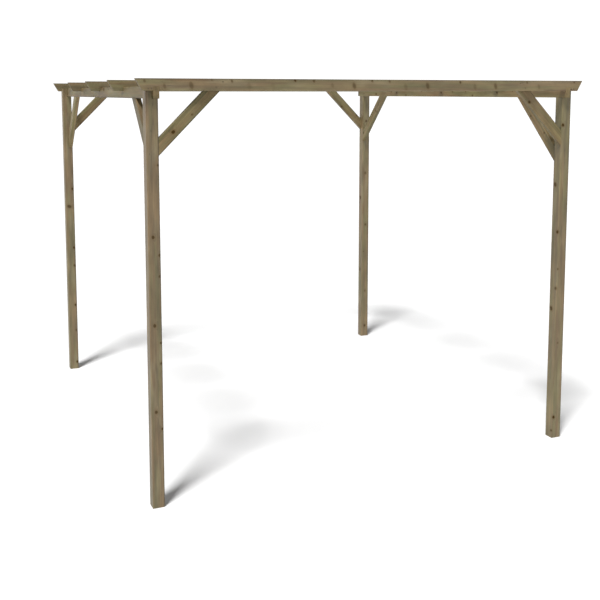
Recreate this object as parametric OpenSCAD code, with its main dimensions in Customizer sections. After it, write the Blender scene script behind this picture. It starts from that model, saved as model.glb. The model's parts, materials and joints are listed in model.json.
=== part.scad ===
// Open timber carport frame: four posts, two side beams, five rafters and eight 45 degree braces.
// Millimetres, +Z up. The origin is on the ground, at the centre of the plan.
// +X runs along the rafters and +Y runs along the side beams, from the front to the rear.

/* [Layout] */
// Distance between the centre lines of the left and right posts
post_spacing_x = 2795; // [2000:5:3600]
// Distance between the centre lines of the front and rear posts
post_spacing_y = 2915; // [2000:5:3600]
// Height of the post tops above the ground
post_h = 2400; // [1900:5:3000]

/* [Posts] */
// Side of the square post section
post_w = 70; // [55:1:110]

/* [Side beams] */
// Depth of a side beam, which is also the depth of its seat in the post
beam_d = 67; // [55:1:100]
// Thickness of a side beam
beam_t = 33; // [25:1:42]
// Clearance between a side beam and the tongue left standing on the post
beam_gap = 0.5; // [0.2:0.1:2]

/* [Rafters] */
// Reach of a rafter tail past the outer face of the posts, along its top edge
tail_reach = 61; // [45:1:400]
// Depth of a rafter
rafter_d = 67; // [55:1:100]
// Thickness of a rafter
rafter_t = 33; // [25:1:45]
// Depth of the notch that drops over a side beam
notch_d = 24; // [15:1:35]
// Clearance on each side of the beam inside a rafter notch
notch_gap = 0.5; // [0.2:0.1:2]
// Angle of the rafter tails, leaning in from the vertical
tail_angle = 30; // [0:1:45]

/* [Braces] */
// Length of a brace along its longer edge
brace_len = 600; // [400:5:800]
// Depth of a brace across its face
brace_d = 69; // [45:1:90]
// Thickness of a brace
brace_t = 33; // [20:1:42]

/* [Timber] */
// Width of the flat that eases each long edge of the planed timber
arris = 2; // [1:0.5:4]

/* [Hidden] */

// Signs for the side of the frame that a piece is on
left = -1;
right = 1;
front = -1;
rear = 1;

// Distances from the centre of the plan to the faces of the posts
post_inner_x = (post_spacing_x - post_w) / 2;
post_inner_y = (post_spacing_y - post_w) / 2;
post_outer_x = post_inner_x + post_w;
post_outer_y = post_inner_y + post_w;

// Heights: the beam seat, the underside of the rafters and the top of the rafters
beam_seat_z = post_h - beam_d;
rafter_under_z = post_h - notch_d;
rafter_top_z = rafter_under_z + rafter_d;

// The first and last rafters lie against the outer faces of the posts
rafter_count = 5;
rafter_reach_y = post_outer_y + rafter_t;
rafter_pitch = (2 * rafter_reach_y - rafter_t) / (rafter_count - 1);
beam_len = 2 * rafter_reach_y;

// Length of a rafter along its top edge, and how far each tail leans in
rafter_len = 2 * (post_outer_x + tail_reach);
tail_run = rafter_d * tan(tail_angle);

// How far a brace reaches along its post and its beam
brace_leg = brace_len * cos(45);
brace_mitre = brace_d / cos(45);

// Extra length on cutters and on blanks that are trimmed to shape
over = 10;

// Colours of the pressure-treated softwood, by the way each piece faces
post_colour = [0.51, 0.46, 0.36];
beam_colour = [0.55, 0.50, 0.41];
rafter_colour = [0.50, 0.45, 0.35];
brace_colour = [0.48, 0.43, 0.33];

// Section of planed timber, w across and d up from the corner at the origin, with eased edges
module section(w, d) {
    polygon([
        [arris, 0], [w - arris, 0], [w, arris], [w, d - arris],
        [w - arris, d], [arris, d], [0, d - arris], [0, arris]
    ]);
}

// Timber that runs along +X from the origin, t thick in +Y and d deep in +Z
module timber(len, t, d) {
    rotate([90, 0, 90])
        linear_extrude(len)
            section(t, d);
}

// Outline in the X-Z plane, extruded t along +Y
module upright_profile(points, t) {
    translate([0, t, 0])
        rotate([90, 0, 0])
            linear_extrude(t)
                polygon(points);
}

// Children mirrored from the left of the frame to the right where on is true
module flip_x(on) {
    if (on) mirror([1, 0, 0]) children();
    else children();
}

// Children mirrored from the front of the frame to the rear where on is true
module flip_y(on) {
    if (on) mirror([0, 1, 0]) children();
    else children();
}

// Post on its own centre line, with the beam seat cut from the half that faces -X
module post() {
    seat_w = beam_t + beam_gap;
    color(post_colour)
        difference() {
            translate([-post_w / 2, -post_w / 2, 0])
                linear_extrude(post_h)
                    section(post_w, post_w);
            translate([-post_w / 2 - over, -post_w / 2 - over, beam_seat_z])
                cube([seat_w + over, post_w + 2 * over, beam_d + over]);
        }
}

// Post moved to its corner and turned so that the beam seat faces the inside of the frame
module corner_post(side, end) {
    translate([side * post_spacing_x / 2, end * post_spacing_y / 2, 0])
        flip_x(side == left)
            post();
}

// Side beam that lies in the post seats, flush with the inner faces of the posts
module side_beam(side) {
    color(beam_colour)
        flip_x(side == left)
            translate([post_inner_x + beam_t, -beam_len / 2, beam_seat_z])
                rotate([0, 0, 90])
                    timber(beam_len, beam_t, beam_d);
}

// Notch that lets a rafter down over one side beam
module beam_notch(side) {
    notch_w = beam_t + 2 * notch_gap;
    notch_x = side * (post_inner_x + beam_t / 2) - notch_w / 2;
    translate([notch_x, -over, -over])
        cube([notch_w, rafter_t + 2 * over, notch_d + over]);
}

// Rafter number index from the front, with bevelled tails and a notch over each side beam
module rafter(index) {
    y = -rafter_reach_y + (index - 1) * rafter_pitch;
    tip = rafter_len / 2;
    heel = tip - tail_run;
    color(rafter_colour)
        translate([0, y, rafter_under_z])
            difference() {
                intersection() {
                    translate([-tip, 0, 0])
                        timber(rafter_len, rafter_t, rafter_d);
                    upright_profile(
                        [[-tip, rafter_d], [-heel, 0], [heel, 0], [tip, rafter_d]],
                        rafter_t
                    );
                }
                beam_notch(left);
                beam_notch(right);
            }
}

// Brace from a foot on the plane X = 0 up to a head on the plane Z = 0, mitred flat to both
module brace() {
    color(brace_colour)
        intersection() {
            translate([0, 0, -brace_leg])
                rotate([0, -45, 0])
                    translate([-brace_d, 0, 0])
                        timber(brace_len + 2 * brace_d, brace_t, brace_d);
            upright_profile(
                [
                    [0, -brace_leg], [brace_leg, 0],
                    [brace_leg - brace_mitre, 0], [0, brace_mitre - brace_leg]
                ],
                brace_t
            );
        }
}

// Brace from the inner face of a post up the inner side of the front or rear rafter
module cross_brace(side, end) {
    flip_x(side == right)
        flip_y(end == rear)
            translate([-post_inner_x, -post_outer_y, rafter_top_z])
                brace();
}

// Brace from a post up to the underside of its side beam, in line with the beam
module side_brace(side, end) {
    flip_x(side == left)
        flip_y(end == rear)
            translate([post_inner_x + brace_t, -post_inner_y, beam_seat_z])
                rotate([0, 0, 90])
                    brace();
}

corner_post(left, front);  // post_front_left
corner_post(right, front);  // post_front_right
corner_post(left, rear);  // post_rear_left
corner_post(right, rear);  // post_rear_right

side_beam(left);  // side_beam_left
side_beam(right);  // side_beam_right

rafter(1);  // rafter_front
rafter(2);  // rafter_second
rafter(3);  // rafter_middle
rafter(4);  // rafter_fourth
rafter(5);  // rafter_rear

cross_brace(left, front);  // cross_brace_front_left
cross_brace(right, front);  // cross_brace_front_right
cross_brace(left, rear);  // cross_brace_rear_left
cross_brace(right, rear);  // cross_brace_rear_right

side_brace(left, front);  // side_brace_front_left
side_brace(right, front);  // side_brace_front_right
side_brace(left, rear);  // side_brace_rear_left
side_brace(right, rear);  // side_brace_rear_right
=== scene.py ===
# %% [markdown]
# # A timber carport frame, dressed for the studio
# The frame is an open one: four square posts, two side beams let into the post
# tops, five notched rafters and eight braces cut at 45 degrees. All of it is
# planed softwood, pressure treated to an olive brown. The shapes come from the
# packed model, in metres, and this lesson gives them the look of real timber.

import json
import math
import random
from collections import namedtuple

import bmesh
import bpy
import numpy as np
from mathutils import Matrix, Vector


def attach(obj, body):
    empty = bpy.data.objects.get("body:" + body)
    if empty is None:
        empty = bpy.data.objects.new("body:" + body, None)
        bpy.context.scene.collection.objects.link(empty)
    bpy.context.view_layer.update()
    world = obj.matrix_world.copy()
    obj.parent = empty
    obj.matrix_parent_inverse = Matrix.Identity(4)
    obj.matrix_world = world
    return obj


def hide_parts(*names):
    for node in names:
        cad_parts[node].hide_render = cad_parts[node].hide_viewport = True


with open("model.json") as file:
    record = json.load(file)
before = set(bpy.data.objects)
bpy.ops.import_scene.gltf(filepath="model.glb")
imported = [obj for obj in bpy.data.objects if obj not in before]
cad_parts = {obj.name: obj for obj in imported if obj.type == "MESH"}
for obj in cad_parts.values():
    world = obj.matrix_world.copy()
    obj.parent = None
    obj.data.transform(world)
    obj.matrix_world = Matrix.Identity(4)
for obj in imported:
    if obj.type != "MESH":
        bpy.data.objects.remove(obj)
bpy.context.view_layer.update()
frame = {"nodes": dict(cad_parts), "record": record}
print("timbers in the frame:", len(frame["nodes"]))

# %% [markdown]
# ## The camera
# A frame this wide is looked at from a step ladder: the lens is level with the
# rafters, to the left of the middle, and looks down a little. A pitched camera
# makes tall posts lean towards each other, and a lens shift does not. Part of
# each is used here, so that the posts stay nearly upright and the shift stays
# small enough for the other sides to be seen whole.

# %% Camera
CAMERA_PLACE = (-2.619, -6.453, 2.365)
CAMERA_PITCH = 6.52
CAMERA_TURN = 22.93
FOCAL_LENGTH = 55.26
SENSOR = 36.0
LENS_SHIFT = -0.17


def add_object(name, data):
    """A new object with this mesh, lamp or lens, in the scene."""
    made = bpy.data.objects.new(name, data)
    bpy.context.scene.collection.objects.link(made)
    return made


lens = bpy.data.cameras.new("studio_camera")
lens.sensor_width = SENSOR
lens.lens = FOCAL_LENGTH
lens.shift_y = LENS_SHIFT
camera = add_object("studio_camera", lens)
camera.location = CAMERA_PLACE
camera.rotation_euler = (math.radians(90 - CAMERA_PITCH), 0, math.radians(-CAMERA_TURN))
bpy.context.scene.camera = camera
print("camera at", CAMERA_PLACE)

# %% [markdown]
# ## Shader sums written as sums
# A wood finish is a long sum of masks and noises. Written as Python arithmetic
# it stays readable, so a small class wraps one socket of a node tree, and every
# operator on it adds a Math node. The surround and the screw heads use it too.

# %% Shader arithmetic
# A Mix node has sockets for numbers, vectors and colours under the same names,
# so its colour sockets are found by number: the mask, both colours, the result.
MIX_MASK, MIX_FIRST, MIX_SECOND, MIX_RESULT = 0, 6, 7, 2


class Signal:
    """One socket of a node tree, with arithmetic that adds Math nodes."""

    def __init__(self, tree, socket=None):
        self.tree = tree
        self.socket = socket

    def add(self, kind, sockets, output=0, **settings):
        """Adds a node: its settings first, then the values or links of its sockets."""
        node = self.tree.nodes.new(kind)
        for name, setting in settings.items():
            setattr(node, name, setting)
        for name, value in sockets.items():
            if isinstance(value, Signal):
                self.tree.links.new(value.socket, node.inputs[name])
            else:
                node.inputs[name].default_value = value
        return Signal(self.tree, node.outputs[output] if node.outputs else None)

    def joined(self, operation, *values):
        """A Math node on the values, in their order."""
        return self.add("ShaderNodeMath", dict(enumerate(values)), operation=operation)

    def math(self, operation, *others):
        return self.joined(operation, self, *others)

    def __add__(self, other):
        return self.math("ADD", other)

    __radd__ = __add__

    def __sub__(self, other):
        return self.math("SUBTRACT", other)

    def __rsub__(self, other):
        return self.joined("SUBTRACT", other, self)

    def __mul__(self, other):
        return self.math("MULTIPLY", other)

    __rmul__ = __mul__

    def __truediv__(self, other):
        return self.math("DIVIDE", other)

    def step(self, low, high):
        """0 below low, 1 above high, and smooth in between."""
        sockets = {"Value": self, "From Min": low, "From Max": high}
        return self.add("ShaderNodeMapRange", sockets, interpolation_type="SMOOTHSTEP")

    def blend(self, first, second):
        """Colour first where this mask is 0, and colour second where it is 1."""
        sockets = {MIX_MASK: self, MIX_FIRST: first, MIX_SECOND: second}
        return self.add("ShaderNodeMix", sockets, MIX_RESULT, data_type="RGBA")

    def parts(self):
        """The three parts of this vector."""
        split = self.add("ShaderNodeSeparateXYZ", {0: self}).socket.node
        return [Signal(self.tree, split.outputs[k]) for k in range(3)]


print("what a signal can do:", [name for name in vars(Signal) if name[0] != "_"])

# %% [markdown]
# ## The floor
# A product stands on a white studio floor that runs on to the horizon. One large disc is
# enough, because the light on it is even.

# %% Floor
FLOOR_RADIUS = 90.0
FLOOR_SIDES = 96
FLOOR_WHITE = 0.80
FLOOR_ROUGHNESS = 0.9


def into_mesh(shape, name):
    """A new mesh from the edited shape, which is given back to memory."""
    mesh = bpy.data.meshes.new(name)
    shape.to_mesh(mesh)
    shape.free()
    return mesh


def add_floor():
    """A white disc under the frame."""
    disc = bmesh.new()
    bmesh.ops.create_circle(disc, cap_ends=True, segments=FLOOR_SIDES, radius=FLOOR_RADIUS)
    mesh = into_mesh(disc, "studio_floor")
    floor = add_object("studio_floor", mesh)
    coat = bpy.data.materials.new("studio_floor")
    coat.use_nodes = True
    shader = coat.node_tree.nodes["Principled BSDF"]
    shader.inputs["Base Color"].default_value = (FLOOR_WHITE,) * 3 + (1,)
    shader.inputs["Roughness"].default_value = FLOOR_ROUGHNESS
    shader.inputs["Specular IOR Level"].default_value = 0.0
    mesh.materials.append(coat)


add_floor()
print("floor radius", FLOOR_RADIUS)

# %% [markdown]
# ## The key light
# A big soft lamp high on the front left throws shadows to the right and the
# rear, sharp at the feet and blurred further off. A sun with a wide disc does
# that evenly over the whole floor.

# %% Key light
KEY_STRENGTH = 4.08
KEY_DISC = math.radians(11.5)
KEY_HEIGHT = math.radians(63.0)
KEY_SIDE = math.radians(44.5)

key = bpy.data.lights.new("key_light", "SUN")
key.energy = KEY_STRENGTH
key.angle = KEY_DISC
key_object = add_object("key_light", key)
towards_key = Vector(
    (
        -math.cos(KEY_HEIGHT) * math.sin(KEY_SIDE),
        -math.cos(KEY_HEIGHT) * math.cos(KEY_SIDE),
        math.sin(KEY_HEIGHT),
    )
)
key_object.rotation_euler = towards_key.to_track_quat("Z", "Y").to_euler()
print("key light from", [round(x, 2) for x in towards_key])

# %% [markdown]
# ## The surround
# White screens stand round the stage under a dim ceiling. They do little for
# the floor, so the shadows keep their depth, but they give upright timber a
# pale sheen where it is seen at a flat angle. To the camera the surround is
# plain white all over, which keeps the backdrop clean.

# %% Surround
SCREEN_LEVEL = 1.0
CEILING_LEVEL = 0.15
SCREEN_FOOT = 0.24
SCREEN_TOP = 0.46
BACKDROP_LEVEL = 1.1

surround = bpy.data.worlds.new("pale_surround")
surround.use_nodes = True
bpy.context.scene.world = surround
surround.node_tree.nodes.clear()
air = Signal(surround.node_tree)
# A surround's first coordinate is the direction looked in, and the first output
# of Light Path is 1 where the camera itself does the looking.
_, _, rise = air.add("ShaderNodeTexCoord", {}).parts()
screens = 1 - rise.step(SCREEN_FOOT, SCREEN_TOP)
level = CEILING_LEVEL + screens * (SCREEN_LEVEL - CEILING_LEVEL)
seen = air.add("ShaderNodeLightPath", {})
level = level * (1 - seen) + seen * BACKDROP_LEVEL
glow = air.add("ShaderNodeBackground", {"Color": (1, 1, 1, 1), "Strength": level})
air.add("ShaderNodeOutputWorld", {"Surface": glow})

bpy.context.scene.view_settings.view_transform = "Standard"
bpy.context.scene.view_settings.look = "None"
print("surround nodes:", len(surround.node_tree.nodes))

# %% [markdown]
# ## Which way each timber runs
# Wood is patterned along the tree, so each board needs to know its own length,
# width and thickness directions. A sawyer pencils an arrow on the face; here a
# small table does it. Posts run up, beams run back, rafters run across, and a
# brace runs at 45 degrees from its post towards the middle of the frame.

# %% Directions
CORNERS = {
    "front_left": (-1, -1),
    "front_right": (1, -1),
    "rear_left": (-1, 1),
    "rear_right": (1, 1),
}
RAFTER_PLACES = ("front", "second", "middle", "fourth", "rear")
RIGHT, BACK, UP = Vector((1, 0, 0)), Vector((0, 1, 0)), Vector((0, 0, 1))


def brace_directions(outward, through):
    """Directions of a brace that leans away from its post's outward side."""
    return (UP - outward).normalized(), (UP + outward).normalized(), through


def board_directions():
    """Per node: the directions (along, across, through) of its board."""
    rows = {}
    for corner, (side, end) in CORNERS.items():
        rows["post_" + corner] = (UP, RIGHT, BACK)
        rows["cross_brace_" + corner] = brace_directions(side * RIGHT, BACK)
        rows["side_brace_" + corner] = brace_directions(end * BACK, RIGHT)
    for side in ("left", "right"):
        rows["side_beam_" + side] = (BACK, UP, RIGHT)
    for place in RAFTER_PLACES:
        rows["rafter_" + place] = (RIGHT, UP, BACK)
    return rows


DIRECTIONS = board_directions()
NODES = sorted(DIRECTIONS)
assert set(NODES) == set(frame["nodes"])
print("boards with a direction:", len(NODES))

# %% [markdown]
# ## A tape measure for every board
# Section sizes aren't typed in again, because they belong to the model. Each
# board is measured along its own three directions, which also works for the
# braces, whose boxes in the frame say little about their section.

# %% Measure the boards


def board_turn(node):
    """Matrix that turns frame directions into the board's own."""
    return np.array([list(direction) for direction in DIRECTIONS[node]])


def vertex_places(mesh):
    """One row per vertex, in the frame's directions."""
    places = np.zeros(len(mesh.vertices) * 3)
    mesh.vertices.foreach_get("co", places)
    return places.reshape(-1, 3)


def measure_board(node):
    """The start of the centre line, in the board's own directions, and its sizes."""
    own = vertex_places(frame["nodes"][node].data) @ board_turn(node).T
    low, high = own.min(0), own.max(0)
    origin = (low + high) / 2
    origin[0] = low[0]
    return origin, high - low


ORIGINS, SIZES = {}, {}
for node in NODES:
    ORIGINS[node], SIZES[node] = measure_board(node)
for node in ("post_front_left", "rafter_front", "cross_brace_front_left"):
    print(node, [round(float(size), 4) for size in SIZES[node]])

# %% [markdown]
# ## Softened boards
# A planer leaves an eased arris, and handling rounds it further. The modelled
# timber has flat chamfers, so each board is copied, its loose triangles are
# merged and joined into whole faces, and a small bevel rounds every edge.

# %% Boards
ROUNDING = 0.0007
ROUNDING_STEPS = 2
SHARP_ANGLE = math.radians(30)
MERGE_DISTANCE = 1e-5
FLAT_ANGLE = math.radians(1)


def merged_copy(node):
    """A new object with the node's mesh, merged and with its flat faces whole."""
    shape = bmesh.new()
    shape.from_mesh(frame["nodes"][node].data)
    bmesh.ops.remove_doubles(shape, verts=shape.verts, dist=MERGE_DISTANCE)
    bmesh.ops.dissolve_limit(
        shape, angle_limit=FLAT_ANGLE, verts=shape.verts, edges=shape.edges
    )
    mesh = into_mesh(shape, "timber_" + node)
    mesh.materials.clear()
    return add_object("timber_" + node, mesh)


def apply_modifiers(piece):
    """Gives the piece the mesh that its modifiers make, and removes them."""
    graph = bpy.context.evaluated_depsgraph_get()
    finished = bpy.data.meshes.new_from_object(
        piece.evaluated_get(graph), preserve_all_data_layers=True, depsgraph=graph
    )
    finished.name = piece.name
    piece.modifiers.clear()
    piece.data = finished


def round_edges(board):
    """A small bevel on every edge where faces meet at an angle."""
    bevel = board.modifiers.new("rounding", "BEVEL")
    bevel.width = ROUNDING
    bevel.segments = ROUNDING_STEPS
    bevel.limit_method = "ANGLE"
    bevel.angle_limit = SHARP_ANGLE
    bevel.miter_outer = "MITER_ARC"
    apply_modifiers(board)


def count_faces():
    return sum(len(board.data.polygons) for board in boards.values())


boards = {node: merged_copy(node) for node in NODES}
for board in boards.values():
    round_edges(board)
print("faces:", count_faces())

# %% [markdown]
# ## Where the screws go
# Such a frame is pulled together with countersunk wood screws. The rafters at
# the ends are screwed to the posts and braces, the beams to the post tops from
# inside, each brace through its long edge, and each rafter down into the beams.
# A plan lists them per timber, measured from its own end and centre line. The
# near face of a board is its front or left one, and the far face its rear or
# right one.

# %% Screw plan
NEAR_FACE, FAR_FACE = (0, -1), (0, 1)
LOWER_EDGE, UPPER_EDGE = (-1, 0), (1, 0)
POST_SCREWS = ((0.070, -0.0215), (0.088, -0.0215))
BRACE_SCREWS = ((0.4535, -0.0145), (0.4935, 0.0155))
BEAM_SCREWS = ((0.053, 0.012), (0.083, -0.012))
MITRE_SCREWS = ((0.025, 0.0), (0.050, 0.0))
RAFTER_SCREWS = ((0.1145, 0.0),)


def both_ends(node, face, rows):
    """The rows at the board's start and again, mirrored, at its end."""
    length = SIZES[node][0]
    start = [(place, offset, face) for place, offset in rows]
    return start + [(length - place, offset, face) for place, offset in rows]


def board_screws(node):
    """Per screw: distance along the board, offset on its face, and that face."""
    if node.startswith("rafter"):
        face = {"rafter_front": NEAR_FACE, "rafter_rear": FAR_FACE}.get(node)
        side = both_ends(node, face, POST_SCREWS + BRACE_SCREWS) if face else []
        return side + both_ends(node, UPPER_EDGE, RAFTER_SCREWS)
    if node.startswith("side_beam"):
        inside = FAR_FACE if node.endswith("left") else NEAR_FACE
        return both_ends(node, inside, BEAM_SCREWS)
    if node.startswith("side_brace"):
        return both_ends(node, LOWER_EDGE, MITRE_SCREWS)
    if node.startswith("cross_brace"):
        return [(place, offset, LOWER_EDGE) for place, offset in MITRE_SCREWS]
    return []


def screw_places(node):
    """Per screw of a board: its point on the surface, and the way out of the timber."""
    turn = board_turn(node)
    _, width, thickness = SIZES[node]
    rows = []
    for place, offset, (edge, face) in board_screws(node):
        own = (place, offset, face * thickness / 2)
        if edge:
            own = (place, edge * width / 2, offset)
        rows.append((turn.T @ (ORIGINS[node] + own), turn.T @ (0, edge, face)))
    return rows


def count_rows(table):
    return sum(len(rows) for rows in table.values())


SCREWS = {node: screw_places(node) for node in NODES}
print("screws:", count_rows(SCREWS))

# %% [markdown]
# ## Countersunk recesses
# A countersink bit leaves a shallow cone, so that the head sits just under the
# surface. The cones are cut from the boards here, and one cutter does all the
# screws of a board. The cone starts a little above the wood, because two faces
# in one plane don't cut cleanly.

# %% Cut the recesses
RECESS_RADIUS = 0.0045
RECESS_DEPTH = 0.0030
CUTTER_RISE = 0.0005
CONE_SIDES = 24


def add_cone(shape, place, outward):
    """A cone at 45 degrees that narrows into the timber."""
    turned = Vector(outward).to_track_quat("Z", "Y").to_matrix().to_4x4()
    height = RECESS_DEPTH + CUTTER_RISE
    centre = Vector(place) + Vector(outward) * (CUTTER_RISE - height / 2)
    bmesh.ops.create_cone(
        shape,
        cap_ends=True,
        segments=CONE_SIDES,
        radius1=RECESS_RADIUS - RECESS_DEPTH,
        radius2=RECESS_RADIUS + CUTTER_RISE,
        depth=height,
        matrix=Matrix.Translation(centre) @ turned,
    )


def cut_recesses(node):
    """Cuts a cone at each of the board's screws, with one cutter for them all."""
    shape = bmesh.new()
    for place, outward in SCREWS[node]:
        add_cone(shape, place, outward)
    mesh = into_mesh(shape, "cutter")
    cutter = add_object("cutter", mesh)
    cut = boards[node].modifiers.new("recesses", "BOOLEAN")
    cut.operation = "DIFFERENCE"
    cut.solver = "EXACT"
    cut.object = cutter
    apply_modifiers(boards[node])
    bpy.data.objects.remove(cutter)
    bpy.data.meshes.remove(mesh)


for node in NODES:
    if SCREWS[node]:
        cut_recesses(node)
print("faces with recesses:", count_faces())

# %% [markdown]
# ## Where the heart is
# Every ring, streak and knot in a board comes from one tree: rings lie round the heart, and a
# knot is a branch that grew straight out of it. A square post has the heart inside, and a
# thin board is sawn beside it. The places are drawn from a fixed seed, so that the frame
# looks the same each time. Three are given. In the front rafter and the rear left post the
# branches meet the broad face at a slant, so their knots are long across the board. In the
# left beam they meet it squarely.

# %% Hearts
TIMBER_SEED = 41
POST_HEART = (-0.010, 0.010), (-0.006, 0.012)
BOARD_HEART = (-0.022, 0.022), (0.022, 0.050)
draw = random.Random(TIMBER_SEED)


def draw_heart(node):
    """Where the heart line passes the section, across and through."""
    if node.startswith("post"):
        return draw.uniform(*POST_HEART[0]), draw.uniform(*POST_HEART[1])
    beside = draw.choice((-1, 1)) * draw.uniform(*BOARD_HEART[1])
    return draw.uniform(*BOARD_HEART[0]), beside


HEARTS = {node: draw_heart(node) for node in NODES}
HEARTS["rafter_front"] = (0.104, 0.047)
HEARTS["post_rear_left"] = (0.025, -0.010)
HEARTS["side_beam_left"] = (0.008, 0.060)
print("hearts:", len(HEARTS))

# %% [markdown]
# ## Knots in plain sight
# The knots that give the frame its character are written down. Most come out on
# a board's near face, and a few on the left face of a post. Each row says how
# far the knot is from the board's foot, left or front end, how far it is off the
# middle of that face, its radius, and how dark it is from 0 to 1. A young tree
# puts out a ring of branches each year, which is why the knots of a board often
# come back at even distances, here about half a metre.

# %% Knots on near faces
NEAR_KNOTS = {
    "post_front_left": [
        (0.466, 0.028, 0.0046, 0.88),
        (0.568, -0.006, 0.0068, 0.68),
        (0.848, 0.028, 0.0052, 0.55),
        (0.967, 0.028, 0.0042, 0.82),
        (1.068, -0.006, 0.0072, 0.65),
        (1.347, 0.029, 0.0054, 0.62),
        (1.466, 0.029, 0.0048, 0.92),
        (1.569, -0.006, 0.0069, 0.70),
        (1.969, 0.029, 0.0048, 0.60),
    ],
    "post_front_right": [
        (0.148, -0.025, 0.0070, 1.00),
        (0.670, -0.010, 0.0055, 0.38),
        (1.183, -0.029, 0.0045, 0.50),
        (2.152, -0.024, 0.0070, 1.00),
    ],
    "post_rear_left": [
        (0.060, 0.024, 0.0065, 1.00),
        (0.338, 0.023, 0.0066, 0.48),
        (0.560, 0.023, 0.0065, 1.00),
        (0.903, 0.023, 0.0070, 0.60),
        (1.057, 0.023, 0.0070, 1.00),
        (1.410, -0.007, 0.0095, 0.62),
        (1.559, 0.023, 0.0066, 1.00),
    ],
    "post_rear_right": [
        (0.102, 0.001, 0.0082, 0.62),
        (0.449, 0.001, 0.0080, 0.32),
        (0.837, -0.016, 0.0042, 0.38),
        (1.100, 0.001, 0.0086, 0.50),
        (1.600, -0.003, 0.0090, 0.42),
        (2.097, 0.001, 0.0080, 0.60),
    ],
    "rafter_front": [
        (0.050, 0.019, 0.0045, 0.35),
        (0.160, -0.008, 0.0060, 0.25),
        (0.311, -0.004, 0.0083, 0.38),
        (0.428, 0.027, 0.0040, 0.25),
        (0.546, 0.020, 0.0042, 0.42),
        (0.649, -0.006, 0.0085, 0.12),
        (0.793, -0.004, 0.0085, 0.06),
        (0.929, 0.027, 0.0048, 0.82),
        (1.047, 0.023, 0.0050, 0.48),
        (1.166, -0.002, 0.0062, 0.16),
        (1.308, -0.004, 0.0080, 0.43),
        (1.426, 0.027, 0.0048, 0.50),
        (1.544, 0.024, 0.0048, 0.36),
        (1.655, -0.009, 0.0085, 0.16),
        (1.808, -0.003, 0.0084, 0.42),
        (2.042, 0.020, 0.0044, 0.57),
        (2.150, -0.008, 0.0080, 0.18),
        (2.304, -0.004, 0.0080, 0.38),
        (2.545, 0.021, 0.0042, 0.36),
        (2.638, -0.006, 0.0068, 0.17),
        (2.920, 0.025, 0.0042, 0.50),
    ],
    "cross_brace_front_left": [
        (0.151, 0.000, 0.0072, 1.00),
        (0.295, -0.010, 0.0045, 0.38),
    ],
    "cross_brace_front_right": [
        (0.389, -0.020, 0.0064, 0.80),
    ],
    "side_beam_left": [
        (1.612, 0.023, 0.0060, 0.70),
        (2.141, 0.000, 0.0060, 0.70),
    ],
    "side_beam_right": [
        (0.775, 0.000, 0.0060, 0.60),
        (1.096, -0.023, 0.0050, 0.70),
        (1.547, -0.001, 0.0060, 0.60),
        (2.125, -0.022, 0.0050, 0.70),
        (2.289, -0.002, 0.0060, 0.60),
    ],
    "rafter_second": [
        (0.327, 0.020, 0.0050, 0.70),
        (0.811, -0.006, 0.0085, 0.70),
        (1.324, 0.024, 0.0055, 0.90),
        (1.835, 0.002, 0.0065, 0.50),
        (2.330, -0.020, 0.0055, 0.80),
        (2.815, 0.012, 0.0045, 0.70),
    ],
    "rafter_middle": [
        (0.244, -0.012, 0.0050, 0.60),
        (0.750, 0.022, 0.0060, 0.90),
        (1.262, 0.001, 0.0090, 0.60),
        (1.741, 0.025, 0.0045, 0.80),
        (2.255, -0.008, 0.0060, 0.50),
        (2.760, 0.019, 0.0055, 0.80),
    ],
    "rafter_fourth": [
        (0.402, 0.008, 0.0070, 0.60),
        (0.905, -0.022, 0.0050, 0.80),
        (1.418, 0.018, 0.0055, 0.70),
        (1.902, -0.003, 0.0080, 0.70),
        (2.436, 0.024, 0.0050, 0.90),
    ],
    "side_brace_front_right": [
        (0.395, -0.012, 0.0045, 0.50),
    ],
    "side_brace_rear_left": [
        (0.300, 0.004, 0.0040, 0.20),
    ],
}
print("knots on near faces:", count_rows(NEAR_KNOTS))

# %% Knots on left faces
LEFT_KNOTS = {
    "post_front_right": [
        (0.052, -0.026, 0.0060, 0.60),
        (0.902, 0.014, 0.0100, 0.68),
        (1.049, -0.026, 0.0071, 0.56),
        (1.435, -0.026, 0.0073, 0.95),
        (1.752, 0.012, 0.0100, 0.68),
    ],
    "post_rear_right": [
        (0.658, 0.004, 0.0105, 0.50),
        (1.360, 0.004, 0.0115, 0.66),
    ],
}


def written_knots(node):
    """The rows with both places in the section. Both faces lie on its low side."""
    _, left, near = -np.round(SIZES[node] / 2, 4)
    rows = [(place, off, near, *rest) for place, off, *rest in NEAR_KNOTS.get(node, [])]
    more = [(place, left, off, *rest) for place, off, *rest in LEFT_KNOTS.get(node, [])]
    return rows + more


WRITTEN_KNOTS = {node: written_knots(node) for node in NODES}
print("written knots:", count_rows(WRITTEN_KNOTS))

# %% [markdown]
# ## Knots out of sight
# The other boards, and the far faces of the posts, get knots at irregular
# distances. They keep clear of the written ones, because the grain needs room
# to flow round a knot.

# %% Drawn knots
KNOT_APART = 0.06
END_CLEAR = 0.05
FIRST_STEP = (0.02, 0.20)
NEXT_STEP = (0.12, 0.42)
KNOT_RADII = (0.0030, 0.0040, 0.0050, 0.0065, 0.0080)
KNOT_DARKNESS = (0.5, 1.0)
FACE_SHARE = 0.72
FAR_FACE_SHARE = 0.5
FACE_SPREAD = 0.42
EDGE_SPREAD = 0.4


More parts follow.
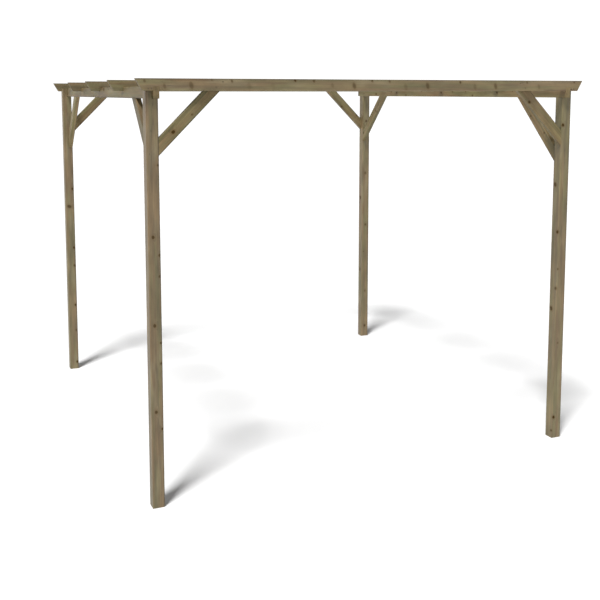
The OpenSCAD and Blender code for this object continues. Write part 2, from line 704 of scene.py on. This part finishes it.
def draw_knot(node, place, far_side):
    """A knot at this place, on a broad face or an edge of the board."""
    _, width, thickness = SIZES[node]
    side = 1 if far_side else draw.choice((-1, 1))
    radius = draw.choice(KNOT_RADII)
    darkness = draw.uniform(*KNOT_DARKNESS)
    if draw.random() < (FAR_FACE_SHARE if far_side else FACE_SHARE):
        across = draw.uniform(-FACE_SPREAD, FACE_SPREAD) * width
        return place, across, side * thickness / 2, radius, darkness
    through = draw.uniform(-EDGE_SPREAD, EDGE_SPREAD) * thickness
    return place, side * width / 2, through, radius, darkness


def board_knots(node):
    """The board's knots in order: the written ones, and drawn ones between them."""
    written = WRITTEN_KNOTS[node]
    knots = list(written)
    place = END_CLEAR + draw.uniform(*FIRST_STEP)
    while place < SIZES[node][0] - END_CLEAR:
        knot = draw_knot(node, place, bool(written))
        if all(abs(place - row[0]) > KNOT_APART for row in written):
            knots.append(knot)
        place += draw.uniform(*NEXT_STEP)
    return sorted(knots)


KNOTS = {node: board_knots(node) for node in NODES}
print("knots:", count_rows(KNOTS))

# %% [markdown]
# ## Grain written on the mesh
# The finish reads its pattern from numbers kept at the corners of the faces:
# the place on the board, the place measured from the heart, and the place
# measured from the nearest branch. All three run evenly over a face, so a few
# faces carry them exactly, and one finish then serves every board. The board
# is first cut across, halfway between one knot and the next.

# %% Cut between the knots


def cut_between_knots(board, node):
    """Cuts the mesh across the board, halfway between neighbouring knots."""
    along = DIRECTIONS[node][0]
    start = Vector(board_turn(node).T @ ORIGINS[node])
    shape = bmesh.new()
    shape.from_mesh(board.data)
    for first, second in zip(KNOTS[node], KNOTS[node][1:]):
        bmesh.ops.bisect_plane(
            shape,
            geom=shape.verts[:] + shape.edges[:] + shape.faces[:],
            plane_co=start + along * (first[0] + second[0]) / 2,
            plane_no=along,
        )
    shape.to_mesh(board.data)
    shape.free()


for node in NODES:
    cut_between_knots(boards[node], node)
print("faces after the cuts:", count_faces())

# %% [markdown]
# ## Flat faces, round edges
# The rounded edges are meant to look soft and the planed faces flat. Smooth
# shading alone would tilt the light across a whole face. Normals weighted by
# face area leave the big faces flat, and the turn happens in the edges.

# %% Weigh the normals
for board in boards.values():
    for face in board.data.polygons:
        face.use_smooth = True
    weighted = board.modifiers.new("weighted", "WEIGHTED_NORMAL")
    weighted.keep_sharp = False
    apply_modifiers(board)
print("boards with weighted normals:", len(boards))

# %% [markdown]
# ## Which branch a face belongs to
# A branch starts at the heart and rises a little as it goes out, so its knot is
# an oval. Each face takes the nearest branch. The room is the distance over
# which the grain settles again, and it never reaches the next cut.

# %% Branches
BRANCH_RISE = 0.22
MOST_ROOM = 0.12


def corner_places(mesh, node):
    """Per face corner: its face's number, and its place from the board's origin."""
    vertices = np.zeros(len(mesh.loops), int)
    mesh.loops.foreach_get("vertex_index", vertices)
    counts = np.zeros(len(mesh.polygons), int)
    mesh.polygons.foreach_get("loop_total", counts)
    own = vertex_places(mesh) @ board_turn(node).T - ORIGINS[node]
    return np.repeat(np.arange(len(counts)), counts), own[vertices]


def knot_room(places):
    """Per knot: half the way to its nearer neighbour, and at most MOST_ROOM."""
    halves = np.diff(places) / 2
    room = np.full(len(places), MOST_ROOM)
    room[:-1] = np.minimum(room[:-1], halves)
    room[1:] = np.minimum(room[1:], halves)
    return room


def branch_numbers(node, owner, corner):
    """Per corner: (forward, aside, depth) from its branch, and (radius, room, darkness)."""
    knots = np.array(KNOTS[node])
    heart = np.array(HEARTS[node])
    places = knots[:, 0]
    face_place = np.bincount(owner, corner[:, 0]) / np.bincount(owner)
    nearest = np.searchsorted((places[1:] + places[:-1]) / 2, face_place)[owner]
    outward = knots[:, 1:3] - heart
    reach = np.linalg.norm(outward, axis=1)
    outward /= reach[:, None]
    sideways = np.stack([-outward[:, 1], outward[:, 0]], 1)
    from_heart = corner[:, 1:] - heart
    depth = (from_heart * outward[nearest]).sum(1)
    aside = (from_heart * sideways[nearest]).sum(1)
    forward = corner[:, 0] - places[nearest] - BRANCH_RISE * (depth - reach[nearest])
    knot = np.column_stack([knots[nearest, 3], knot_room(places)[nearest], knots[nearest, 4]])
    return np.column_stack([forward, aside, depth]), knot


print("a branch rises, as a share of its length:", BRANCH_RISE)

# %% [markdown]
# ## Writing the numbers
# The tone is one set of numbers for the whole board, because no two boards of a batch take up
# the same amount of preservative: how light it is, how warm, and which opposite pair of its
# long edges is painted in shade. For a few boards, how light it is also holds painted shade
# and painted light.

# %% Write the grain
# Each board reads the noise this much further on, so that no two are alike.
BOARD_APART = 6.37


def write_corners(mesh, name, values):
    """Keeps one vector per face corner on the mesh, under this name."""
    layer = mesh.attributes.new(name, "FLOAT_VECTOR", "CORNER")
    layer.data.foreach_set("vector", values.astype(np.float32).ravel())


def end_share(mesh, node):
    """Per face: 1 where it looks along the board, as an end does, and 0 on its sides."""
    normals = np.zeros(len(mesh.polygons) * 3)
    mesh.polygons.foreach_get("normal", normals)
    return np.abs(normals.reshape(-1, 3) @ board_turn(node)[0])


def write_grain(board, node, number, tone):
    """Writes the board, heart, branch, knot and tone attributes."""
    mesh = board.data
    owner, corner = corner_places(mesh, node)
    shifted = corner + np.array([number * BOARD_APART, 0, 0])
    ends = end_share(mesh, node)[owner]
    branch, knot = branch_numbers(node, owner, corner)
    write_corners(mesh, "board", shifted)
    write_corners(mesh, "heart", np.column_stack([corner[:, 1:] - HEARTS[node], ends]))
    write_corners(mesh, "branch", branch)
    write_corners(mesh, "knot", knot)
    write_corners(mesh, "tone", np.tile(tone, (len(corner), 1)))


# Per board: steps lighter, steps warmer, and the pair of edges that carries painted shade, 1
# or -1.
# The middle, fourth and rear rafters and the front left side brace are set darker all over,
# and the rear left side brace lighter, partly as painted shade and painted light on those
# boards.
TONES = {
    "cross_brace_front_left": (0.0, 0.0, -1),
    "cross_brace_front_right": (0.2, -0.2, 1),
    "cross_brace_rear_left": (-1.0, -1.4, -1),
    "cross_brace_rear_right": (-1.6, 0.0, 1),
    "post_front_left": (-2.0, 1.2, 1),
    "post_front_right": (-0.2, -0.8, 1),
    "post_rear_left": (0.0, 0.3, 1),
    "post_rear_right": (-0.4, 1.2, 1),
    "rafter_front": (-0.3, 0.8, 1),
    "rafter_second": (1.2, -0.6, 1),
    "rafter_middle": (-3.6, -1.0, 1),
    "rafter_fourth": (-3.5, 1.2, 1),
    "rafter_rear": (-3.2, 0.2, 1),
    "side_beam_left": (-1.0, 0.0, -1),
    "side_beam_right": (1.9, -0.8, 1),
    "side_brace_front_left": (-5.5, -2.5, -1),
    "side_brace_front_right": (0.0, 0.0, -1),
    "side_brace_rear_left": (6.0, 0.2, 1),
    "side_brace_rear_right": (0.0, -0.8, 1),
}
for number, node in enumerate(NODES):
    write_grain(boards[node], node, number, TONES[node])
print("boards with grain:", len(boards))

# %% [markdown]
# ## Reading the grain in the finish
# The finish starts by reading back what was written on the boards. A small
# holder keeps the readings together, so that every layer of the finish can use
# them. Noise is stretched along the board, because everything in wood is.

# %% Readings
END_FADE = (0.55, 0.75)


class Grain:
    """The numbers written on a board, as signals of one material."""

    def __init__(self, tree):
        self.wood = Signal(tree)
        self.place = self.reading("board")
        _, self.across, self.through = self.place.parts()
        self.off_across, self.off_through, self.end_on = self.reading("heart").parts()
        self.forward, self.aside, self.depth = self.reading("branch").parts()
        self.radius, self.room, self.darkness = self.reading("knot").parts()
        self.brightness, self.hue, self.pair = self.reading("tone").parts()
        self.ends = self.end_on.step(*END_FADE)

    def reading(self, name):
        return self.wood.add("ShaderNodeAttribute", {}, "Vector", attribute_name=name)

    def noise(self, waves, detail=2.0, rough=0.5):
        """Noise with this many waves a metre, first along the board, then across."""
        along, across = waves
        sockets = {0: self.place, 1: (along, across, across)}
        stretched = self.wood.add("ShaderNodeVectorMath", sockets, operation="MULTIPLY")
        sockets = {"Vector": stretched, "Scale": 1.0, "Detail": detail, "Roughness": rough}
        return self.wood.add("ShaderNodeTexNoise", sockets)


print("a face turns into an end between", END_FADE)

# %% [markdown]
# ## Knots in the finish
# A knot is a branch cut through: a brown core, a thin dark rim of bark and
# resin, and a stained halo. The branch has fine rings and dry cracks of its
# own. Round it the grain swells, more along the board than across. All of it is
# measured from the middle of the branch, and shows only on the side of the
# heart that the branch grew to.

# %% Inside the branch
RAGGED_LINES = 2.0
BRANCH_RING = 0.0009
BRANCH_RING_FADE = (0.45, 1.0)
BRANCH_RING_DARK = 0.6
BRANCH_CRACKS = 2.5
CRACK_WIDTH = (0.90, 1.0)
CRACK_FADE = (0.45, 0.80)


def branch_lines(grain, length, distance, ratio, ragged):
    """The fine rings and the dry cracks of a branch, 1 where they are dark."""
    uneven = ragged * RAGGED_LINES
    turn = grain.aside.math("ARCTAN2", length) * BRANCH_CRACKS + uneven
    cracks = turn.math("COSINE").step(*CRACK_WIDTH) * (1 - ratio.step(*CRACK_FADE))
    rings = (distance / BRANCH_RING + uneven).math("FRACT").step(*BRANCH_RING_FADE)
    return (rings * BRANCH_RING_DARK).math("MAXIMUM", cracks)


print("rings of a branch in mm:", BRANCH_RING * 1000)

# %% Round the branch
# The reach of the swelling is a number of knot radii and a length on top.
REACH_ALONG = (3.2, 0.010)
REACH_ASIDE = (1.5, 0.004)
SETTLE_FADE = (0.45, 0.98)


def swollen_grain(grain, grown):
    """How much the grain gives way to the branch, from 0 to 1."""
    along = grain.forward / (grain.radius * REACH_ALONG[0] + REACH_ALONG[1])
    aside = grain.aside / (grain.radius * REACH_ASIDE[0] + REACH_ASIDE[1])
    spread = along * along + aside * aside + 1
    settled = (grain.forward.math("ABSOLUTE") / grain.room).step(*SETTLE_FADE)
    return (1 - settled) * grown / (spread * spread)


print("swelling reaches, in radii and metres:", REACH_ALONG, REACH_ASIDE)

# %% Knot masks
KNOT_OVAL = 0.8
RAGGED_WAVES = (160, 260)
RAGGED_RIM = 0.35
BRANCH_START = (0.0, 0.006)
CORE_FADE = (0.62, 0.98)
RIM_FADE = (1.00, 1.40)
HALO_FADE = (1.00, 2.60)
Knot = namedtuple("Knot", "core lines rim halo swelling")


def knot_masks(grain):
    """The parts of the nearest knot, and the swelling round it, as masks."""
    length = grain.forward * KNOT_OVAL
    distance = (length * length + grain.aside * grain.aside).math("SQRT")
    ragged = grain.noise(RAGGED_WAVES, detail=1.0)
    ratio = distance / grain.radius + (ragged - 0.5) * RAGGED_RIM
    grown = grain.depth.step(*BRANCH_START) * grain.darkness
    return Knot(
        core=(1 - ratio.step(*CORE_FADE)) * grown,
        lines=branch_lines(grain, length, distance, ratio, ragged),
        rim=(1 - ratio.step(*RIM_FADE)) * grown,
        halo=(1 - ratio.step(*HALO_FADE)) * grown,
        swelling=swollen_grain(grain, grown),
    )


print("a halo fades out at", HALO_FADE[1], "knot radii")

# %% [markdown]
# ## Growth rings
# The rings are one field, the distance from the heart, pushed outwards round
# each branch. Seen on a side it gives straight grain and pointed arches, seen
# on an end it gives rings, with no seams at the arrises, which flat patterns on
# each face would have. Late in the season the wood grows dense and dark.

# %% Rings
RING_SPACING = 0.0034
WANDER_WAVES = (1.1, 0.0)
WANDER_METRES = 0.030
SWAY_WAVES = (2.3, 14)
SWAY_METRES = 0.010
UNEVEN_WAVES = (0.6, 30)
UNEVEN_RINGS = 1.2
PUSHED_RADII = 1.6
LATE_START = (0.45, 0.92)
LATE_END = (0.94, 1.0)


def late_wood(grain, swelling):
    """1 in the dark part of each ring and 0 in the pale part."""
    wander = (grain.noise(WANDER_WAVES, detail=1.0) - 0.5) * WANDER_METRES
    sway = (grain.noise(SWAY_WAVES) - 0.5) * SWAY_METRES
    near = grain.off_across + wander
    from_heart = (near * near + grain.off_through * grain.off_through).math("SQRT")
    grown = from_heart + sway - swelling * grain.radius * PUSHED_RADII
    uneven = grain.noise(UNEVEN_WAVES, detail=1.0) * UNEVEN_RINGS
    season = (grown / RING_SPACING + uneven).math("FRACT")
    return season.step(*LATE_START) * (1 - season.step(*LATE_END))


print("ring spacing in mm:", RING_SPACING * 1000)

# %% [markdown]
# ## The colours of treated softwood
# The preservative leaves an olive brown. Sapwood drinks it and goes greener,
# heartwood stays warm, and the surface greys in patches. Sun and handling leave
# long streaks. The colours are picked as eye colours, from 0 to 255, and turned
# into the linear ones that light is worked out with.

# %% Colours


def paint(red, green, blue):
    """A colour picked as 0 to 255 values, as the linear colour that a shader takes."""
    parts = [c / 255 for c in (red, green, blue)]
    return tuple(
        c / 12.92 if c <= 0.04045 else ((c + 0.055) / 1.055) ** 2.4 for c in parts
    ) + (1,)


OLIVE = paint(105, 97, 64)
WARM = paint(115, 96, 67)
GREYED = paint(124, 114, 86)
STAIN = paint(100, 75, 47)
END_GRAIN = paint(110, 96, 68)
KNOT_CORE = paint(70, 53, 24)
KNOT_RIM = paint(40, 29, 11)
KNOT_HALO = paint(98, 76, 40)
print("olive in linear light:", [round(part, 3) for part in OLIVE[:3]])

# %% Colour of clear wood
BAND_WAVES = (2.4, 30)
CLOUD_WAVES = (1.6, 7)
BAND_SHARE = 0.6
HUE_STEP = 0.03
WARM_FADE = (0.40, 0.62)
# Per layer: waves a metre along and across, where it fades in, how strong it is.
PATCHES = (
    ((4.5, 18), (0.48, 0.72), 0.50, GREYED),
    ((3.4, 26), (0.57, 0.72), 0.55, STAIN),
)


def wood_colour(grain, warmth):
    """The clear wood's colour, before rings, knots and wear."""
    warm = grain.noise(BAND_WAVES) * BAND_SHARE + grain.noise(CLOUD_WAVES) * (1 - BAND_SHARE)
    warm = warm + grain.hue * HUE_STEP + warmth
    colour = warm.step(*WARM_FADE).blend(OLIVE, WARM)
    for waves, fade, strength, tint in PATCHES:
        colour = (grain.noise(waves).step(*fade) * strength).blend(colour, tint)
    return colour


print("a step of warmth:", HUE_STEP)

# %% Shade of clear wood
# Per noise: waves a metre along and across, its detail and roughness, its weight.
SHADE_NOISES = {
    "fibres": ((9, 620), 4.0, 0.65, 0.62),
    "streaks": ((2.6, 95), 3.0, 0.55, 0.50),
    "stripes": ((3.1, 34), 2.0, 0.50, 0.84),
    "blotches": ((5.5, 20), 2.0, 0.50, 0.84),
}
CANAL_WAVES = (26, 850)
CANAL_FADE = (0.66, 0.80)
CANAL_SHADE = 0.16
LATE_SHADE = 0.20
SWELL_SHADE = 0.18
LIGHT_STEP = 0.05
LIGHT_LIFT = 0.04


def wood_shade(grain, late, swelling):
    """How light the clear wood is, about 1 on average, and its streaks and fibres."""
    shade = 1
    noises = {}
    for name, (waves, detail, rough, weight) in SHADE_NOISES.items():
        noises[name] = grain.noise(waves, detail, rough) - 0.5
        shade = shade + noises[name] * weight
    canals = grain.noise(CANAL_WAVES, detail=0.0).step(*CANAL_FADE)
    shade = shade - late * LATE_SHADE - canals * CANAL_SHADE
    shade = shade + grain.brightness * LIGHT_STEP + LIGHT_LIFT
    return shade * (1 - swelling * SWELL_SHADE), noises["streaks"], noises["fibres"]


print("a step of light:", LIGHT_STEP)

# %% [markdown]
# ## Painted edge shade and drying splits
# Two opposite long edges of each board are painted darker, as shade where the edges outline
# the board, and the other two are painted paler, as a highlight. As timber dries it also
# opens in fine splits along the grain, in some places only. These are masks, made apart so
# that they can be tuned apart.

# %% Painted edge shade and split masks
ARRIS_FADE = (0.0015, 0.0080)
ARRIS_PAINTED_SHADE = 0.45
ARRIS_PAINTED_HIGHLIGHT = 0.12
PAIR_FADE = (-0.0001, 0.0001)
SPLIT_WAVES = (1.4, 55)
SPLIT_FADE = (0.0015, 0.0055)
ZONE_WAVES = (1.9, 9)
ZONE_FADE = (0.56, 0.66)


def arris_shade(grain, width, thickness):
    """Painted shade on one opposite pair of long edges and a painted highlight on the other,
    fading out over the first millimetres of a face.
    """
    inset = (width + thickness) / 2 - grain.across.math("ABSOLUTE")
    inset = inset - grain.through.math("ABSOLUTE")
    mask = (1 - inset.step(*ARRIS_FADE)) * (1 - grain.end_on)
    # The pair chosen in the tone gets the painted shade, and the other pair gets the painted
    # highlight.
    highlit = (grain.across * grain.through * grain.pair).step(*PAIR_FADE)
    return 1 - mask * (ARRIS_PAINTED_SHADE - highlit * (ARRIS_PAINTED_SHADE + ARRIS_PAINTED_HIGHLIGHT))


def drying_splits(grain):
    """1 in a fine split along the grain and 0 beside it."""
    line = (grain.noise(SPLIT_WAVES, rough=0.4) - 0.5).math("ABSOLUTE")
    zone = grain.noise(ZONE_WAVES, detail=1.0).step(*ZONE_FADE)
    return (1 - line.step(*SPLIT_FADE)) * zone * (1 - grain.ends)


# The painted edge shade and highlight reach this far in from an arris.
print("wear reaches in from an arris in mm:", ARRIS_FADE[1] * 1000)

# %% [markdown]
# ## One finish for each kind of timber
# The layers come together here. Colour takes the rings, the painted edge shade and highlight,
# and the knots in turn. Relief follows the fibres and the rings, which stand proud once the
# soft wood between them shrinks. The surface is dull but not dead: a planed board still has a
# pale sheen when it is seen nearly edge on. A knot is end grain, which is too open to have
# any, so two shaders are mixed by the knot's own mask.

# %% Layers of clear wood
SPLIT_DARK = 0.45
ClearWood = namedtuple("ClearWood", "late streaks fibres split shade")


def clear_wood(grain, swelling, size):
    """What the timber is between its knots, for colour, relief and roughness."""
    late = late_wood(grain, swelling)
    shade, streaks, fibres = wood_shade(grain, late, swelling)
    split = drying_splits(grain)
    # The long edges get their painted shade and painted highlight here.
    shade = shade * arris_shade(grain, size[1], size[2])
    return ClearWood(late, streaks, fibres, split, shade * (1 - split * SPLIT_DARK))


print("a split is darker by", SPLIT_DARK)

# %% Colour and relief
END_SHARE = 0.75
HALO_SHARE = 0.70
RIM_SHARE = 0.75
RELIEF_STRENGTH = 0.55
RELIEF_METRES = 0.0006


def timber_colour(grain, knot, clear, warmth):
    """The clear wood in its shade, and the halo, rim and core of the knot over it."""
    colour = (grain.ends * END_SHARE).blend(wood_colour(grain, warmth), END_GRAIN)
    sockets = {0: colour, "Scale": clear.shade}
    colour = grain.wood.add("ShaderNodeVectorMath", sockets, operation="SCALE")
    colour = (knot.halo * HALO_SHARE).blend(colour, KNOT_HALO)
    colour = (knot.rim * RIM_SHARE).blend(colour, KNOT_RIM)
    return knot.core.blend(colour, knot.lines.blend(KNOT_CORE, KNOT_RIM))


def timber_relief(grain, knot, clear):
    """What stands up from the planed face, and what lies deeper."""
    heights = (
        (clear.fibres, 0.25),
        (clear.streaks, 0.20),
        (clear.late, 0.35),
        (knot.swelling, 0.80),
        (clear.split, -2.50),
        (knot.rim - knot.core, -0.60),
        (knot.core * knot.lines, -0.50),
    )
    height = sum(layer * weight for layer, weight in heights)
    sockets = {"Strength": RELIEF_STRENGTH, "Distance": RELIEF_METRES, "Height": height}
    return grain.wood.add("ShaderNodeBump", sockets)


print("relief in mm:", RELIEF_METRES * 1000)

# %% Timber finish
PLAIN_ROUGHNESS = 0.52
STREAK_ROUGHNESS = 0.20
LATE_ROUGHNESS = 0.06
END_ROUGHNESS = 0.20
KNOT_ROUGHNESS = 0.85
KNOT_SHEEN = 0.05


def blank_material(name):
    """A material with no nodes yet."""
    material = bpy.data.materials.new(name)
    material.use_nodes = True
    material.node_tree.nodes.clear()
    return material


def wood_shader(wood, colour, relief, roughness, sheen):
    """The shader, which takes its sheen as one number for the whole surface."""
    sockets = {
        "Base Color": colour,
        "Roughness": roughness,
        "Specular IOR Level": sheen,
        "Normal": relief,
    }
    return wood.add("ShaderNodeBsdfPrincipled", sockets)


def timber_finish(name, size, warmth, sheen):
    """Pressure-treated softwood for boards of one section."""
    material = blank_material(name)
    grain = Grain(material.node_tree)
    wood = grain.wood
    knot = knot_masks(grain)
    clear = clear_wood(grain, knot.swelling, size)
    colour = timber_colour(grain, knot, clear, warmth)
    relief = timber_relief(grain, knot, clear)
    roughness = PLAIN_ROUGHNESS + clear.streaks * STREAK_ROUGHNESS
    roughness = roughness - clear.late * LATE_ROUGHNESS + grain.ends * END_ROUGHNESS
    planed = wood_shader(wood, colour, relief, roughness, sheen)
    knotty = wood_shader(wood, colour, relief, KNOT_ROUGHNESS, KNOT_SHEEN)
    surface = wood.add("ShaderNodeMixShader", {0: knot.rim, 1: planed, 2: knotty})
    wood.add("ShaderNodeOutputMaterial", {"Surface": surface})
    print(name, "nodes:", len(material.node_tree.nodes))
    return material


# %% The four finishes
# Per finish: a board of that section, how warm the wood is, and its sheen.
FINISH_PLAN = {
    "post_timber": ("post_front_left", 0.01, 0.55),
    "beam_timber": ("side_beam_left", 0.04, 0.22),
    "rafter_timber": ("rafter_front", 0.0, 0.50),
    "brace_timber": ("side_brace_front_left", 0.0, 0.25),
}
FINISHES = {
    name: timber_finish(name, SIZES[board], warmth, sheen)
    for name, (board, warmth, sheen) in FINISH_PLAN.items()
}

# %% [markdown]
# ## The finish of the screws
# Outdoor screws have a green-brown baked coating that goes well with treated
# timber. It wears to dull metal on the high spots, so the wear drives both how
# metallic and how rough the head is.

# %% Screw finish
SCREW_COATING = paint(84, 74, 50)
WORN_STEEL = paint(128, 120, 104)
SPECKS_A_METRE = 900.0
WORN_FADE = (0.56, 0.70)
WORN_SHARE = 0.6
COATED_METALLIC = 0.25
WORN_METALLIC = 0.5
COATED_ROUGHNESS = 0.5
WORN_POLISH = 0.12
PITTING_METRES = 0.0001


def screw_finish():
    """Coated steel, worn in specks."""
    material = blank_material("coated_steel")
    steel = Signal(material.node_tree)
    place = steel.add("ShaderNodeTexCoord", {}, "Object")
    sockets = {"Vector": place, "Scale": SPECKS_A_METRE, "Detail": 3.0}
    specks = steel.add("ShaderNodeTexNoise", sockets)
    worn = specks.step(*WORN_FADE)
    sockets = {"Strength": 0.3, "Distance": PITTING_METRES, "Height": specks}
    relief = steel.add("ShaderNodeBump", sockets)
    sockets = {
        "Base Color": (worn * WORN_SHARE).blend(SCREW_COATING, WORN_STEEL),
        "Metallic": COATED_METALLIC + worn * WORN_METALLIC,
        "Roughness": COATED_ROUGHNESS - worn * WORN_POLISH,
        "Normal": relief,
    }
    shader = steel.add("ShaderNodeBsdfPrincipled", sockets)
    steel.add("ShaderNodeOutputMaterial", {"Surface": shader})
    return material


STEEL = screw_finish()
print(STEEL.name, "nodes:", len(STEEL.node_tree.nodes))

# %% [markdown]
# ## Screw heads
# One head is a blunt cone with a six-point star pressed into it. Geometry nodes
# make it once and set a copy in every recess, turned to the way out of the
# timber. The sizes are the tree's own inputs, so that a coarser screw is a
# matter of three numbers.

# %% One screw head
HEAD_SIZES = {"Head radius": 0.00405, "Head height": 0.0024, "Star radius": 0.0021}
HEAD_SIDES = 20
STAR_POINTS = 6
STAR_WAIST = 0.72
STAR_DEPTH_SHARE = 0.6


def blunt_cone(nodes, radius, height):
    """The head's cone, with its flat top at height 0."""
    sockets = {
        "Vertices": HEAD_SIDES,
        "Radius Top": radius,
        "Radius Bottom": radius - height,
        "Depth": height,
    }
    cone = nodes.add("GeometryNodeMeshCone", sockets, "Mesh")
    down = nodes.add("ShaderNodeCombineXYZ", {"Z": height * -1.0})
    return nodes.add("GeometryNodeTransform", {"Geometry": cone, "Translation": down})


def star_plug(nodes, radius, height):
    """A six-point star prism that reaches from above the head into it."""
    waist = radius * STAR_WAIST
    sockets = {"Points": STAR_POINTS, "Outer Radius": radius, "Inner Radius": waist}
    star = nodes.add("GeometryNodeCurveStar", sockets)
    foot = nodes.add("ShaderNodeCombineXYZ", {"Z": height * -STAR_DEPTH_SHARE})
    top = nodes.add("ShaderNodeCombineXYZ", {"Z": height})
    line = nodes.add("GeometryNodeCurvePrimitiveLine", {"Start": foot, "End": top})
    sockets = {"Curve": line, "Profile Curve": star, "Fill Caps": True}
    return nodes.add("GeometryNodeCurveToMesh", sockets)


def screw_head(nodes, head_radius, height, star_radius):
    """The cone with the star cut out of it."""
    cone = blunt_cone(nodes, head_radius, height)
    plug = star_plug(nodes, star_radius, height)
    return nodes.add(
        "GeometryNodeMeshBoolean",
        {"Mesh 1": cone, "Mesh 2": plug},
        operation="DIFFERENCE",
        solver="EXACT",
    )


print("head sizes in mm:", {name: size * 1000 for name, size in HEAD_SIZES.items()})

# %% Heads on points


def heads_on_points(nodes, points, head):
    """A head on each point, turned to its outward direction, as one steel mesh."""
    outward = nodes.add(
        "GeometryNodeInputNamedAttribute", {"Name": "outward"}, data_type="FLOAT_VECTOR"
    )
    turned = nodes.add("FunctionNodeAlignRotationToVector", {"Vector": outward}, axis="Z")
    sockets = {"Points": points, "Instance": head, "Rotation": turned}
    placed = nodes.add("GeometryNodeInstanceOnPoints", sockets)
    real = nodes.add("GeometryNodeRealizeInstances", {"Geometry": placed})
    return nodes.add("GeometryNodeSetMaterial", {"Geometry": real, "Material": STEEL})


def screw_tree():
    """Points with an outward direction in, screw heads out."""
    tree = bpy.data.node_groups.new("screw_heads", "GeometryNodeTree")
    tree.interface.new_socket("Geometry", in_out="OUTPUT", socket_type="NodeSocketGeometry")
    tree.interface.new_socket("Geometry", in_out="INPUT", socket_type="NodeSocketGeometry")
    for name in HEAD_SIZES:
        tree.interface.new_socket(name, in_out="INPUT", socket_type="NodeSocketFloat")
    given = tree.nodes.new("NodeGroupInput").outputs
    nodes = Signal(tree)
    head = screw_head(nodes, *[Signal(tree, given[name]) for name in HEAD_SIZES])
    heads = heads_on_points(nodes, Signal(tree, given["Geometry"]), head)
    nodes.add("NodeGroupOutput", {"Geometry": heads})
    return tree


SCREW_TREE = screw_tree()
print("screw tree nodes:", len(SCREW_TREE.nodes))

# %% [markdown]
# ## Driving the screws
# The heads sit four tenths of a millimetre under the surface, which is where a
# careful fitter stops.

# %% Set the heads
HEAD_SUNK = 0.0004


def set_heads():
    """One mesh with every screw head in its recess."""
    rows = [row for node in NODES for row in SCREWS[node]]
    points = [Vector(place) - Vector(outward) * HEAD_SUNK for place, outward in rows]
    mesh = bpy.data.meshes.new("screw_heads")
    mesh.from_pydata(points, [], [])
    layer = mesh.attributes.new("outward", "FLOAT_VECTOR", "POINT")
    layer.data.foreach_set("vector", np.array([row[1] for row in rows], np.float32).ravel())
    heads = add_object("screw_heads", mesh)
    driven = heads.modifiers.new("heads", "NODES")
    driven.node_group = SCREW_TREE
    for socket in SCREW_TREE.interface.items_tree:
        if socket.name in HEAD_SIZES:
            driven[socket.identifier] = HEAD_SIZES[socket.name]
    apply_modifiers(heads)
    return heads


screw_heads = set_heads()
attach(screw_heads, "root")
print("screw head faces:", len(screw_heads.data.polygons))

# %% [markdown]
# ## Onto the frame
# Each dressed board replaces its modelled timber. Nothing on the frame moves,
# so all of them ride on its one body.

# %% Hang the boards on the frame
SLOTS = {row["node"]: row["material_slot"] for row in frame["record"]["subparts"]}

for node, board in boards.items():
    board.data.materials.clear()
    board.data.materials.append(FINISHES[SLOTS[node]])
    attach(board, "root")
    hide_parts(node)
print("boards riding on root:", len(boards))

# %% [markdown] ## Closing The finished frame must be no bigger than the
# model.
